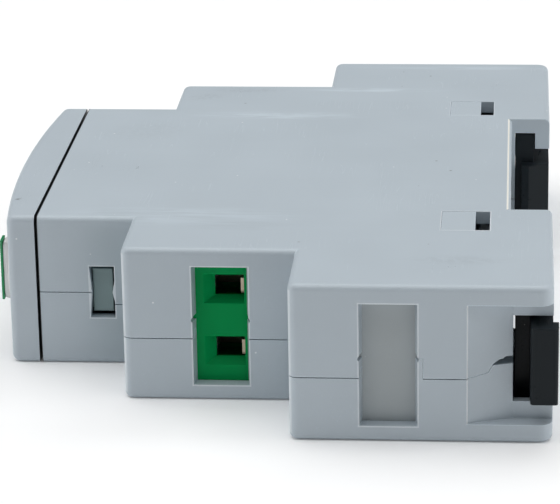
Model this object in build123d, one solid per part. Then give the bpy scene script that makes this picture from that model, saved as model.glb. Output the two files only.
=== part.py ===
from build123d import *
import math
import os

# DIN rail timer, one module wide: a time relay set by two front knobs, with rising-screw terminals.
# X runs from the front face to the rail and is 0 on the rail seat. Y runs from the bottom end, where
# the latch is, to the top end. Z runs across the module, along the rail. Millimetres.

# ---------------------------------------------------------------- body
module_width = 18.0
body_height = 90.0
mid_height = 67.0
nose_height = 45.0
nose_length = 11.1
mid_length = 19.55
rear_length = 23.85
foot_length = 4.8
end_wall = 1.6
side_wall = 1.5
corner_radius = 1.0
foot_corner_radius = 1.5
rim_radius = 0.7
seat_rim = 0.4

# stepped parting between the half shells
nose_parting_z = -0.2
rear_parting_z = -1.65
parting_gap = 0.12
lip_thickness = 0.7
lip_height = 0.8
lip_clearance = 0.05

# ---------------------------------------------------------------- front cover
seam_gap = 0.3
cover_edge_depth = 3.2
cover_bulge = 1.45
cover_wall = 1.9
cover_rim_radius = 0.9
skirt_clearance = 0.12
skirt_thickness = 0.9
skirt_length = 1.8
arm_half_width = 2.6
arm_thickness = 1.0
catch_recess = 0.9
catch_fit = 0.3
label_thickness = 0.15
label_half_width = 7.2
label_half_height = 19.5

# ---------------------------------------------------------------- windows in the end walls
nose_window_offset = 3.74       # shoulder to the window's middle
nose_window_length = 2.9
nose_window_height = 6.3
nose_window_waist = 0.25
mid_window_offset = 11.1        # middle shoulder to the window's middle
rear_window_offset = 10.85      # rear shoulder to the window's middle
terminal_window_length = 6.35
terminal_window_height = 14.1
window_centre_z = -0.15
window_draft = 0.28              # narrowing of a terminal window through the wall, each side
nick_radius = 0.33
nick_z = 0.55
driver_hole_radius = 2.1

# ---------------------------------------------------------------- rail notch, latch and hook
notch_height = 36.8
channel_start_x = 0.45
channel_deep_x = 3.0
channel_low_z = -6.5
channel_high_z = 7.15
slot_low_z = -4.85
slot_high_z = 5.1
channel_end_wall = 1.1
ramp_length = 4.9
ramp_depth = 2.0
ramp_lip = 0.2                  # step down at the start of the ramp
ramp_half_width = 6.85
ramp_step = [(-2.2, -1.2), (-1.7, -0.42)]        # rise of the parting in the ramp, as (x, z)
ramp_wedge_top = [(-1.75, -0.30), (-0.95, 0.22), (-0.6, 0.22), (-0.35, 0.48)]
slide_clearance = 0.2
hook_fit = 0.03                 # the fixed hook's clearance in its channel
latch_travel = 2.6
latch_reach = 2.1               # how far the tongue stands into the notch
hook_reach = 1.5
latch_low_z = -4.35
latch_high_z = 4.4
hook_high_z = 3.2
tongue_front_x = 1.3
tab_length = 2.3
tab_front_x = 2.35
tab_proud_x = 0.55
tab_proud_y = 0.4
spring_radius = 1.3
spring_wire = 0.4
spring_turns = 9
spring_web = 3.5                # latch material between the tongue and the spring pocket
post_offset = 5.4               # channel's end to the post's middle
post_length = 1.2
post_half_width = 1.1

# snap arms of the lower shell, seen in the upper side face
arm_front_x = -7.8
arm_head_rear_x = -3.95
arm_window_rear_x = -2.3
arm_stem_front_x = -6.2
arm_ledge = 0.6
bottom_arm = (0.8, 6.75)        # distance from the notch, and length along Y
top_arm = (1.7, 6.2)
arm_fit = 0.03
arm_sink = 0.05                 # side face to the arms' faces

# ---------------------------------------------------------------- terminals
terminal_fit = 0.1
blank_lap = 1.1                 # how far a blank reaches past its window
terminal_block_length = 14.4    # along X
terminal_block_depth = 9.0      # along Y
screw_depth = 3.9               # from the block's wire face to the screw's axis
wire_wall = 1.3
funnel_depth = 1.0
funnel_flare = 1.25
funnel_low_flare = 0.75
funnel_high_flare = 0.45
wire_hole_length = 3.35
wire_hole_height = 2.3
wire_hole_rise = 0.25           # pole's middle to the wire hole's middle, along Z
wire_hole_offset = 8.75         # block's screw side to the wire hole's near edge, along X
frame_plate = 1.1
frame_wall = 0.8
frame_half_width = 2.3
frame_inset = 1.6               # block's inner face to the frame
frame_gap = 0.2
tongue_half_width = 0.9
frame_offset = 5.8              # block's screw side to the frame's top plate
pin_radius = 0.5
pin_inset = 1.6                 # frame's back wall to its solder pin
pin_hole_radius = 0.62
screw_radius = 1.45
screw_fit = 0.05
screw_head_radius = 1.95
screw_head_length = 1.8
screw_length = 6.8
screw_slot_width = 0.6
screw_slot_depth = 0.9
clamp_thickness = 0.35
clamp_half_width = 1.7
clamp_gap = 0.05

# ---------------------------------------------------------------- boards
board_thickness = 1.6
board_fit = 0.2
front_board_depth = 3.25        # seam to the front board's face
pad_length = 1.0
pad_reach = 1.3
front_pad_y = (16.2, 18.4)
power_pad_y = (17.1, 20.1)
header_y = 17.6
header_pitch = 2.54
header_pins = 4
header_pin_size = 0.64
header_strip_length = 2.5
pin_stand = 0.8                 # how far soldered pins stand behind the power board
supply_stand_off = 1.1
chip_places = [(-12.5, 3.5), (-12.5, -3.5), (-9.0, 3.5), (-9.0, -3.5), (8.0, 4.0), (8.0, -4.0), (11.5, 0.0)]

# ---------------------------------------------------------------- controls
time_knob_y = -14.5
range_knob_y = -3.5
knob_radius = 3.9
knob_hole_clearance = 0.15
knob_flange_radius = 4.5
knob_flange_thickness = 0.7
flange_clearance = 0.3
knob_grip_width = 2.2
knob_grip_half_length = 3.65
knob_proud = 1.05
pointer_thickness = 0.27
stem_radius = 1.5
running_fit = 0.03
rotor_radius = 2.7
rotor_length = 2.6
control_body = 9.0
control_gap = 0.3               # between a control's body and its knob's flange
led_y = (7.0, 13.5)
led_radius = 1.5
led_flange_radius = 1.85
led_flange_length = 0.8
led_proud = 0.5
led_fit = 0.1
led_lead_offset = 1.0
led_lead_radius = 0.25

# ---------------------------------------------------------------- relay
relay_height = 15.5
relay_half_length = 14.3
relay_side_gap = 1.35
relay_wall = 0.7
relay_base_thickness = 1.5
relay_stand_off = 0.3
coil_y = -7.5
bobbin_radius = 4.4
winding_radius = 4.1
core_radius = 1.6
bobbin_flange = 0.7
yoke_thickness = 1.0
armature_thickness = 0.8
armature_half_width = 4.0
armature_gap = 0.4
blade_thickness = 0.25
contact_radius = 1.1
contact_y = 7.2

# ---------------------------------------------------------------- derived places
half_width = module_width / 2
half_body = body_height / 2
half_mid = mid_height / 2
half_nose = nose_height / 2
half_notch = notch_height / 2
room_z = half_width - side_wall
rear_shoulder_x = -rear_length
mid_shoulder_x = rear_shoulder_x - mid_length
seam_x = mid_shoulder_x - nose_length
cover_rear_x = seam_x - seam_gap
cover_edge_x = cover_rear_x - cover_edge_depth
cover_radius = (half_nose**2 + cover_bulge**2) / (2 * cover_bulge)
nose_window_x = mid_shoulder_x - nose_window_offset
mid_window_x = mid_shoulder_x + mid_window_offset
rear_window_x = rear_shoulder_x + rear_window_offset
blank_half_length = terminal_window_length / 2 + blank_lap
channel_end_y = half_body - ramp_depth - channel_end_wall
post_y = channel_end_y - post_offset
ramp_start_x = channel_start_x - ramp_length
slot_middle_z = (slot_low_z + slot_high_z) / 2 - 0.25

block_front_x = mid_shoulder_x + end_wall
block_rear_x = block_front_x + terminal_block_length
block_face_y = half_mid - end_wall
block_inner_y = block_face_y - terminal_block_depth
pole_offset = (room_z - terminal_fit) / 2
screw_y = block_face_y - screw_depth
wire_hole_x = block_front_x + wire_hole_offset
frame_front_x = block_front_x + frame_offset
tongue_x = wire_hole_x + wire_hole_length - 0.5
clamp_x = wire_hole_x - clamp_thickness - clamp_gap

power_board_x = block_rear_x
power_board_half = half_mid - end_wall - board_fit
front_board_x = seam_x + front_board_depth
front_board_half = half_nose - end_wall - arm_thickness - 0.7
board_half_z = room_z - board_fit

relay_rear_x = power_board_x - relay_stand_off
relay_front_x = relay_rear_x - relay_height
relay_half_z = room_z - relay_side_gap
relay_floor_x = relay_rear_x - relay_base_thickness
relay_top_x = relay_front_x + relay_wall
pivot_y = -relay_half_length + relay_wall + yoke_thickness + 0.3
core_top_x = relay_top_x + 3.0
armature_x = core_top_x - armature_gap - armature_thickness
blade_x = armature_x - blade_thickness
open_contact_x = blade_x + 1.75
closed_contact_x = blade_x - 0.75


# ---------------------------------------------------------------- helpers
def block(x0, x1, y0, y1, z0, z1):
    """A box between two opposite corners."""
    middle = Pos((x0 + x1) / 2, (y0 + y1) / 2, (z0 + z1) / 2)
    return middle * Box(abs(x1 - x0), abs(y1 - y0), abs(z1 - z0))


def rod(x0, x1, y, z, radius):
    """A round bar along X."""
    return Pos((x0 + x1) / 2, y, z) * Rot(0, 90, 0) * Cylinder(radius, abs(x1 - x0))


def prism(points, z0, z1):
    """A polygon of (x, y) corners drawn up from z0 to z1."""
    face = make_face(Polyline(*points, close=True))
    return Pos(0, 0, z0) * extrude(face, z1 - z0)


def end_prism(points, y0, y1):
    """A polygon of (x, z) corners drawn along Y from y0 to y1."""
    face = make_face(Polyline(*[(x, 0, z) for x, z in points], close=True))
    return Pos(0, y0, 0) * extrude(face, amount=abs(y1 - y0), dir=(0, 1, 0))


def both_ends(shape):
    """The shape and its mirror image at the other end of the body."""
    return shape + mirror(shape, about=Plane.XZ)


def joined(shapes):
    """All the shapes as one part."""
    total = shapes[0]
    for shape in shapes[1:]:
        total += shape
    return total


def tiers(front_x, nose, mid, rear, mid_x, rear_x, back_x):
    """Corners of a three-tier outline, symmetrical about Y = 0, open to no notch."""
    side = [(front_x, nose), (mid_x, nose), (mid_x, mid), (rear_x, mid), (rear_x, rear), (back_x, rear)]
    return side + [(x, -y) for x, y in reversed(side)]


def face_x(y):
    """X of the cover's curved front face at height y."""
    apex = cover_edge_x - cover_bulge
    return apex + cover_radius - math.sqrt(cover_radius**2 - y**2)


# ---------------------------------------------------------------- housing
def outer_body():
    """The whole body's outside, with the rail notch."""
    body = prism(
        tiers(seam_x, half_nose, half_mid, half_body, mid_shoulder_x, rear_shoulder_x, foot_length),
        -half_width, half_width)
    body -= block(0, foot_length + 1, -half_notch, half_notch, -half_width - 1, half_width + 1)
    upright = body.edges().filter_by(Axis.Z)
    shoulders = [e for e in upright if on_corner(e, mid_shoulder_x, half_mid) or
                 on_corner(e, rear_shoulder_x, half_body)]
    body = fillet(shoulders, corner_radius)
    feet = [e for e in body.edges().filter_by(Axis.Z) if on_corner(e, foot_length, half_body)]
    body = fillet(feet, foot_corner_radius)
    for level in (half_width, -half_width):
        rim = [e for e in body.edges()
               if abs(e.center().Z - level) < 0.01 and e.center().X > seam_x + 0.01
               and not on_notch(e.center())]
        body = fillet(rim, rim_radius)
    seat = [e for e in body.edges() if abs(e.center().X) < 0.01 and abs(e.center().Y) < 1
            and abs(abs(e.center().Z) - half_width) < 0.01]
    return chamfer(seat, seat_rim)


def on_corner(edge, x, y):
    """Whether an upright edge stands at (x, y) or its mirror image."""
    centre = edge.center()
    return abs(centre.X - x) < 0.01 and abs(abs(centre.Y) - y) < 0.01


def on_notch(point):
    """Whether a point lies on the rail notch's outline."""
    return point.X > -0.01 and abs(point.Y) < half_notch + 0.01


def cavity(grow=0.0, z0=-room_z, z1=room_z):
    """The hollow inside the shells, drawn larger by grow."""
    behind = -end_wall + grow
    ramp_back = ramp_start_x - 1.0
    hollow = prism(
        tiers(seam_x - 1, half_nose - end_wall + grow, half_mid - end_wall + grow,
              half_body - end_wall + grow, mid_shoulder_x + end_wall - grow,
              rear_shoulder_x + end_wall - grow, ramp_back + grow), z0, z1)
    rear_half = channel_end_y - 0.5 + grow
    return hollow + prism([(ramp_back - 1, -rear_half), (behind, -rear_half),
                           (behind, rear_half), (ramp_back - 1, rear_half)], z0, z1)


def terminal_window(x, outside_y):
    """A tall window through an end wall, with a nick half way up each side."""
    low = window_centre_z - terminal_window_height / 2
    high = window_centre_z + terminal_window_height / 2
    half = terminal_window_length / 2
    inner = half - window_draft
    inside_y = outside_y - end_wall
    y0, y1 = inside_y - 0.5, outside_y + 0.5
    left = [(x - half, y1), (x - half, outside_y), (x - inner, inside_y), (x - inner, y0)]
    right = [(x + inner, y0), (x + inner, inside_y), (x + half, outside_y), (x + half, y1)]
    window = prism(left + right, low, high)
    nick = Rot(90, 0, 0) * Cylinder(nick_radius, y1 - y0)
    for side in (-1, 1):
        window += Pos(x + side * (inner + nick_radius / 3), (y0 + y1) / 2, nick_z) * nick
    return window


def nose_window():
    """The waisted release window over the cover's catch."""
    half = nose_window_length / 2
    low = -nose_window_height / 2 + window_centre_z
    high = nose_window_height / 2 + window_centre_z
    waist = half - nose_window_waist
    points = [(-half, low), (half, low), (half, low * 0.4), (waist, nose_parting_z), (half, high * 0.4),
              (half, high), (-half, high), (-waist, nose_parting_z)]
    points = [(nose_window_x + x, z) for x, z in points]
    return end_prism(points, half_nose - end_wall - 0.5, half_nose + 0.5)


def rail_channel():
    """The T-shaped channel for the latch or hook, its slot and the sloped recess at the end wall."""
    wide = block(channel_start_x, channel_deep_x, half_notch - 1, channel_end_y,
                 channel_low_z, channel_high_z)
    slot = block(channel_start_x, foot_length + 1, half_notch - 1, half_body + 1,
                 slot_low_z, slot_high_z)
    low = half_body - ramp_depth
    far = foot_length + 1
    outline = [(ramp_start_x, half_body + 1), (ramp_start_x, half_body - ramp_lip), (channel_start_x, low),
               (far, low), (far, half_body + 1)]
    ramp = prism(outline, -ramp_half_width, ramp_half_width)
    return wide + slot + ramp


def channel_post():
    """The stop in the channel that the latch spring bears on."""
    y0 = post_y - post_length / 2
    y1 = post_y + post_length / 2
    z0 = slot_middle_z - post_half_width
    z1 = slot_middle_z + post_half_width
    return block(channel_start_x - 0.2, channel_deep_x + 0.2, y0, y1, z0, z1)


def board_pads(x0, span):
    """Pads on both side walls that hold a board's faces, with the board's edge between them."""
    pads = []
    for side in (-1, 1):
        z0 = side * (room_z + 0.1)
        z1 = side * (room_z - pad_reach)
        for x in (x0 - pad_length - 0.1, x0 + board_thickness + 0.1):
            for end in (-1, 1):
                pads.append(block(x, x + pad_length, end * span[0], end * span[1], z0, z1))
    return joined(pads)


def blank_ribs():
    """Ribs on the side walls, either side of a terminal blank."""
    ribs = []
    y1 = half_body - end_wall
    for x in (rear_window_x - blank_half_length - 1.1, rear_window_x + blank_half_length + 0.1):
        for side in (-1, 1):
            ribs.append(block(x, x + 1.0, y1 - 2.4, y1 + 0.1, side * (room_z - 1.2), side * (room_z + 0.1)))
    return joined(ribs)


def lower_tabs(clearance):
    """Where the lower shell reaches up past the parting: beside a blank's window and in the ramp."""
    tab_x = rear_window_x + terminal_window_length / 2 - window_draft - 0.02
    low_z = rear_parting_z - 0.5
    y0, y1 = half_body - end_wall, half_body + 0.1
    beside = block(tab_x, tab_x + window_draft + 0.6 + clearance, y0, y1, low_z, 0.7 + clearance)
    end_x = channel_start_x + 0.1
    profile = [(ramp_start_x - 0.1, low_z), (ramp_start_x - 0.1, rear_parting_z + clearance)]
    profile += [(x - clearance, z + clearance) for x, z in ramp_step]
    profile += [(end_x, ramp_step[-1][1] + clearance), (end_x, low_z)]
    in_ramp = end_prism(profile, channel_end_y - 0.6, y1)
    return both_ends(beside + in_ramp)


def ramp_wedge():
    """The open wedge between the shells in each ramp, where the upper shell's corner is cut back."""
    end_x = channel_start_x + 0.1
    profile = ramp_wedge_top + [(end_x, ramp_wedge_top[-1][1]), (end_x, ramp_step[-1][1]), ramp_step[-1]]
    return both_ends(end_prism(profile, channel_end_y - 0.6, half_body + 0.1))


def below_parting(gap, floor_z):
    """Everything under the stepped parting, lowered by gap."""
    step_x = nose_window_x
    start_x, end_x = seam_x - 2, foot_length + 2
    points = [(start_x, floor_z), (end_x, floor_z), (end_x, rear_parting_z - gap),
              (step_x, rear_parting_z - gap), (step_x, nose_parting_z - gap), (start_x, nose_parting_z - gap)]
    return end_prism(points, -half_body - 1, half_body + 1)


def lip_ring(clearance):
    """The inner part of the wall that the lower shell's lip fills, above the parting."""
    ring = cavity(grow=lip_thickness + clearance) - cavity(grow=0.0)
    reach = lip_height + clearance
    band = below_parting(-reach, -half_width - 1) - below_parting(clearance + parting_gap, -half_width - 1)
    return ring & band & block(seam_x, ramp_start_x - 1, -half_body, half_body, -room_z, room_z)


def snap_arm(span, clearance=0.0):
    """One of the lower shell's snap arms, drawn larger by clearance to make its window."""
    y0, y1 = half_notch + span[0], half_notch + span[0] + span[1]
    head_z = room_z + arm_ledge
    rear = arm_head_rear_x if clearance == 0 else arm_window_rear_x
    face_z = half_width - arm_sink if clearance == 0 else half_width + 0.1
    stem = block(arm_stem_front_x - clearance, rear, y0, y1, -room_z - 0.1, face_z)
    head = block(arm_front_x - clearance, rear, y0, y1, head_z - clearance, face_z)
    return stem + head


def arm_pair(clearance=0.0):
    """The bottom and top snap arms in place."""
    return mirror(snap_arm(bottom_arm, clearance), about=Plane.XZ) + snap_arm(top_arm, clearance)


def housing():
    """The upper and lower half shells."""
    shell = outer_body() - cavity()
    shell -= both_ends(terminal_window(mid_window_x, half_mid))
    shell -= both_ends(terminal_window(rear_window_x, half_body))
    shell -= both_ends(nose_window())
    shell -= both_ends(rail_channel())
    for end in (-1, 1):
        for side in (-1, 1):
            shell -= rod(mid_shoulder_x - 1, block_front_x + 1, end * screw_y, side * pole_offset,
                         driver_hole_radius)
    shell += both_ends(channel_post())
    shell += board_pads(front_board_x, front_pad_y) + board_pads(power_board_x, power_pad_y)
    shell += both_ends(blank_ribs())
    under = below_parting(parting_gap / 2, -half_width - 1)
    over_cut = below_parting(-parting_gap / 2, -half_width - 1)
    lower = (shell & (under + lip_ring(0.0))) + (shell & lower_tabs(0.0))
    lower += arm_pair()
    upper = shell - over_cut - lip_ring(lip_clearance)
    upper -= lower_tabs(arm_fit) + arm_pair(arm_fit) + ramp_wedge()
    return upper, lower


# ---------------------------------------------------------------- front cover, label and controls
def cap_outline(inset, rear_x):
    """The cover's side outline, drawn in by inset, closed at rear_x."""
    half = half_nose - inset
    apex_x = face_x(0) + inset
    corner_x = face_x(half) + inset
    front = ThreePointArc((corner_x, -half), (apex_x, 0), (corner_x, half))
    sides = Polyline((corner_x, half), (rear_x, half), (rear_x, -half), (corner_x, -half))
    return make_face([front, sides])


def cap_solid(inset, rear_x, half_z):
    """The cover's outline as a solid across the module."""
    return Pos(0, 0, -half_z) * extrude(cap_outline(inset, rear_x), 2 * half_z)


def front_cover():
    """The curved cap with its inner skirt, snap arms and the holes of the controls."""
    cap = cap_solid(0, cover_rear_x, half_width)
    cap = fillet([e for e in cap.edges() if e.center().X < cover_rear_x - 0.01
                  and e.center().X < cover_edge_x + 0.01], cover_rim_radius)
    rims = [e for e in cap.edges() if abs(abs(e.center().Z) - half_width) < 0.01
            and abs(abs(e.center().Y) - half_nose) < 0.01]
    cap = fillet(rims, rim_radius)
    inner_y = half_nose - end_wall - skirt_clearance
    inner_z = room_z - skirt_clearance
    skirt_end = seam_x + skirt_length
    cap += block(cover_rear_x - 0.5, skirt_end, -inner_y, inner_y, -inner_z, inner_z)
    cap -= cap_solid(cover_wall, skirt_end + 1, inner_z - skirt_thickness) & block(
        seam_x - 20, skirt_end + 1, -inner_y + skirt_thickness, inner_y - skirt_thickness,
        -half_width, half_width)
    cap += both_ends(snap_catch(inner_y, skirt_end))
    for y in (time_knob_y, range_knob_y):
        cap -= rod(face_x(0) - 1, cover_rear_x, y, 0, knob_radius + knob_hole_clearance)
    for y in led_y:
        cap -= rod(face_x(0) - 1, cover_rear_x, y, 0, led_radius + led_fit)
    return cap


def snap_catch(inner_y, skirt_end):
    """One snap arm, reaching back from the skirt to its catch in the nose window."""
    half = nose_window_length / 2 - catch_fit
    arm = block(skirt_end - 1.5, nose_window_x + half, inner_y - arm_thickness, inner_y,
                -arm_half_width, arm_half_width)
    low = window_centre_z - arm_half_width
    high = window_centre_z + arm_half_width
    catch = block(nose_window_x - half, nose_window_x + half, inner_y - arm_thickness,
                  half_nose - catch_recess, low, high)
    return arm + catch


def front_label():
    """A thin printed foil on the curved face, cut round the controls."""
    outer = cap_solid(-label_thickness, cover_rear_x, label_half_width)
    foil = outer - cap_solid(0, cover_rear_x, label_half_width + 1)
    foil &= block(face_x(0) - 1, cover_edge_x + 2, -label_half_height, label_half_height,
                  -label_half_width, label_half_width)
    for y in (time_knob_y, range_knob_y):
        foil -= rod(face_x(0) - 2, cover_rear_x, y, 0, knob_radius + knob_hole_clearance + 0.3)
    for y in led_y:
        foil -= rod(face_x(0) - 2, cover_rear_x, y, 0, led_radius + led_fit + 0.3)
    return foil


def flange_x():
    """X of the front of a knob's flange, clear of the cover's inner wall all round."""
    return face_x(abs(time_knob_y) + knob_flange_radius) + cover_wall + flange_clearance


def knob(y):
    """A grey knob with a bar grip, and the green pointer set on the grip."""
    disc_front = face_x(time_knob_y) - 0.05
    flange_front = flange_x()
    grip_top = face_x(time_knob_y) - knob_proud
    body = rod(disc_front, flange_front + 0.2, y, 0, knob_radius)
    body += rod(flange_front, flange_front + knob_flange_thickness, y, 0, knob_flange_radius)
    body += rod(flange_front, flange_front + knob_flange_thickness + control_gap + rotor_length - 0.2, y, 0,
                stem_radius)
    half = knob_grip_width / 2
    body += block(grip_top, disc_front + 0.2, y - half, y + half, -knob_grip_half_length,
                  knob_grip_half_length)
    pointer = block(grip_top - pointer_thickness, grip_top, y - half, y + half, -knob_grip_half_length,
                    knob_grip_half_length)
    return body, pointer


def control(y):
    """A control's body on the front board, and the rotor that the knob's stem turns."""
    front = flange_x() + knob_flange_thickness + control_gap
    half = control_body / 2
    reach = min(half, room_z - 0.8)
    body = block(front, front_board_x, y - half, y + half, -reach, reach)
    body -= rod(front - 1, front + rotor_length + 0.1, y, 0, rotor_radius + running_fit)
    rotor = rod(front + 0.1, front + rotor_length + 0.06, y, 0, rotor_radius)
    rotor -= rod(front - 1, front + rotor_length - 0.15, y, 0, stem_radius + running_fit)
    return body, rotor


def led(y):
    """A 3 mm lamp with its two leads, standing on a spacer."""
    tip = face_x(y) - led_proud
    flange = face_x(y) + cover_wall + 1.0
    lamp = rod(tip + led_radius, flange + led_flange_length, y, 0, led_radius)
    lamp += Pos(tip + led_radius, y, 0) * Sphere(led_radius)
    lamp += rod(flange, flange + led_flange_length, y, 0, led_flange_radius)
    for side in (-1, 1):
        lamp += rod(flange + 0.2, front_board_x + board_thickness + 0.6, y, side * led_lead_offset,
                    led_lead_radius)
    spacer = rod(flange + led_flange_length, front_board_x, y, 0, led_flange_radius)
    for side in (-1, 1):
        spacer -= rod(flange, front_board_x + 1, y, side * led_lead_offset, led_lead_radius + 0.05)
    return lamp, spacer


# ---------------------------------------------------------------- terminals
def wire_funnel(z0, z1):
    """The tapered mouth of one wire entry, with no taper on the contact side."""
    x0, x1 = wire_hole_x, wire_hole_x + wire_hole_length
    mouth_y = block_face_y + 0.001
    mouth_low, mouth_high = z0 - funnel_low_flare, z1 + funnel_high_flare
    throat = [(x0, z0), (x1, z0), (x1, z1), (x0, z1)]
    mouth = [(x0 - funnel_flare, mouth_low), (x1, mouth_low), (x1, mouth_high),
             (x0 - funnel_flare, mouth_high)]
    faces = []
    for y, corners in ((mouth_y, mouth), (block_face_y - funnel_depth, throat)):
        faces.append(make_face(Polyline(*[(x, y, zz) for x, zz in corners], close=True)))
    return loft(faces)


def terminal_block():
    """The two-pole insulating block, at the top end."""
    half_z = room_z - terminal_fit
    body = block(block_front_x, block_rear_x, block_inner_y, block_face_y, -half_z, half_z)
    for side in (1, -1):
        z = side * pole_offset
        body -= rod(block_front_x - 1, frame_front_x, screw_y, z, driver_hole_radius)
        body -= block(frame_front_x - 0.1, block_rear_x + 1, block_inner_y + frame_inset - frame_gap,
                      block_face_y - wire_wall, z - frame_half_width - 0.15, z + frame_half_width + 0.15)
        low = z + wire_hole_rise - wire_hole_height / 2
        high = low + wire_hole_height
        body -= block(wire_hole_x, wire_hole_x + wire_hole_length, block_face_y - wire_wall - 0.5,
                      block_face_y - funnel_depth + 0.01, low, high)
        body -= wire_funnel(low, high)
    return body


def contact_frame(z):
    """One pole's brass frame: a threaded plate, a back wall, the contact tongue and its solder pin."""
    y_out = block_face_y - wire_wall - frame_gap
    y_in = block_inner_y + frame_inset
    plate = block(frame_front_x, frame_front_x + frame_plate, y_in, y_out, z - frame_half_width,
                  z + frame_half_width)
    plate -= rod(frame_front_x - 1, frame_front_x + frame_plate + 1, screw_y, z, screw_radius + screw_fit)
    back = block(frame_front_x, tongue_x + frame_wall, y_in, y_in + frame_wall, z - tongue_half_width * 1.6,
                 z + tongue_half_width * 1.6)
    tongue = block(tongue_x, tongue_x + frame_wall, y_in, y_out, z - tongue_half_width, z + tongue_half_width)
    pin = rod(tongue_x + 0.1, power_board_x + board_thickness + pin_stand, y_in + pin_inset, z, pin_radius)
    return plate + back + tongue + pin


def clamp_plate(z):
    """The pressure plate under one screw, in its open position."""
    return block(clamp_x, clamp_x + clamp_thickness, screw_y - 2.0, screw_y + 2.0, z - clamp_half_width,
                 z + clamp_half_width)


def terminal_screw(z):
    """One slotted clamp screw, its tip just clear of the pressure plate."""
    tip = clamp_x - clamp_gap
    head = tip - screw_length
    screw = rod(head + 0.5, tip, screw_y, z, screw_radius)
    screw += rod(head, head + screw_head_length, screw_y, z, screw_head_radius)
    half = screw_slot_width / 2
    screw -= block(head - 0.1, head + screw_slot_depth, screw_y - 3, screw_y + 3, z - half, z + half)
    return screw


def terminal_blank():
    """The plate that closes the unused window, at the top end."""
    y1 = half_body - end_wall
    half_z = room_z - terminal_fit
    plate = block(rear_window_x - blank_half_length, rear_window_x + blank_half_length, y1 - 1.2, y1,
                  -half_z, half_z)
    for x in (-1, 1):
        at = rear_window_x + x * (blank_half_length - 1.0)
        plate += block(at - 0.5, at + 0.5, y1 - 3.2, y1 - 1.1, -half_z + 1.5, half_z - 1.5)
    return plate


# ---------------------------------------------------------------- latch and hook
def slider(tongue_reach, wide_end, neck_end, high, fit=slide_clearance):
    """A T-shaped slider in the top channel, its tongue standing into the rail notch."""
    low = latch_low_z
    wide_start = half_notch + slide_clearance
    wide = block(channel_start_x + fit, channel_deep_x - slide_clearance, wide_start, wide_end,
                 channel_low_z + slide_clearance, channel_high_z - slide_clearance)
    neck_front = channel_deep_x - slide_clearance - 0.5
    neck = block(neck_front, foot_length - 0.05, half_notch, neck_end, low, high)
    tip = half_notch - tongue_reach
    rear = foot_length - 0.1
    outline = [(tongue_front_x, wide_start + 1), (tongue_front_x, tip + 0.2), (tongue_front_x + 0.9, tip),
               (rear, half_notch - 0.1), (rear, wide_start + 1)]
    tongue = prism(outline, low, high)
    return wide + neck + tongue


def rail_latch():
    """The sliding latch with its pull tab and spring pocket, at the bottom end."""
    body = slider(latch_reach, channel_end_y - latch_travel - 0.1, half_body - 1, latch_high_z)
    body += block(tab_front_x, foot_length + tab_proud_x, half_body + tab_proud_y - tab_length,
                  half_body + tab_proud_y, latch_low_z, latch_high_z)
    tab_edges = [e for e in body.edges().filter_by(Axis.Z)
                 if abs(e.center().Y - half_body - tab_proud_y) < 0.01]
    body = fillet(tab_edges, 0.4)
    body -= block(channel_start_x - 1, spring_axis_x() + spring_radius + 0.2, spring_end_y(),
                  post_y + post_length / 2 + 0.1, slot_middle_z - spring_radius - 0.2,
                  slot_middle_z + spring_radius + 0.2)
    return mirror(body, about=Plane.XZ)


def rail_hook():
    """The fixed hook insert, at the top end, located by its post."""
    body = slider(hook_reach, channel_end_y - 0.1, half_body - ramp_depth, hook_high_z, hook_fit)
    body -= block(0, channel_deep_x + 0.4, post_y - post_length / 2 - 0.05,
                  post_y + post_length / 2 + 0.05, slot_middle_z - post_half_width - 0.05,
                  slot_middle_z + post_half_width + 0.05)
    return body


def spring_axis_x():
    """X of the latch spring's axis."""
    return channel_start_x + 0.15 + spring_radius + 0.1


def spring_end_y():
    """Height of the pocket wall that pushes the spring."""
    return half_notch + spring_web


def latch_spring():
    """The coil spring between the post and the latch, at the bottom end."""
    start = spring_end_y() + 0.05
    length = post_y - post_length / 2 - start - 0.05
    rise = length - spring_wire
    path = Helix(pitch=rise / spring_turns, height=rise, radius=spring_radius - spring_wire / 2)
    section = Plane(origin=path @ 0, z_dir=path % 0) * Circle(spring_wire / 2)
    coil = sweep(section, path=path)
    at = Pos(spring_axis_x(), start + spring_wire / 2, slot_middle_z)
    return mirror(at * Rot(-90, 0, 0) * coil, about=Plane.XZ)


# ---------------------------------------------------------------- boards
def header_places():
    """Y and Z of every link pin."""
    first = -(header_pins - 1) / 2 * header_pitch
    return [(end * header_y, first + i * header_pitch) for end in (-1, 1) for i in range(header_pins)]


def board(x, half_y, holes):
    """A circuit board across the module, drilled at (y, z, radius)."""
    plate = block(x, x + board_thickness, -half_y, half_y, -board_half_z, board_half_z)
    for y, z, radius in holes:
        plate -= rod(x - 1, x + board_thickness + 1, y, z, radius)
    return plate


def front_board():
    """The board behind the cover, for the controls and lamps."""
    holes = [(y, z, 0.5) for y, z in header_places()]
    holes += [(y, side * led_lead_offset, led_lead_radius + 0.15) for y in led_y for side in (-1, 1)]
    return board(front_board_x, front_board_half, holes)


def power_board():
    """The board behind the terminals, for the relay and the supply."""
    holes = [(y, z, 0.5) for y, z in header_places()]
    pin_y = block_inner_y + frame_inset + pin_inset
    holes += [(end * pin_y, side * pole_offset, pin_hole_radius) for end in (-1, 1) for side in (-1, 1)]
    holes += [(y, z, 0.5) for y, z in relay_pin_places()]
    holes += [(y, z, 0.45) for leads in lead_places.values() for y, z in leads]
    return board(power_board_x, power_board_half, holes)


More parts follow.
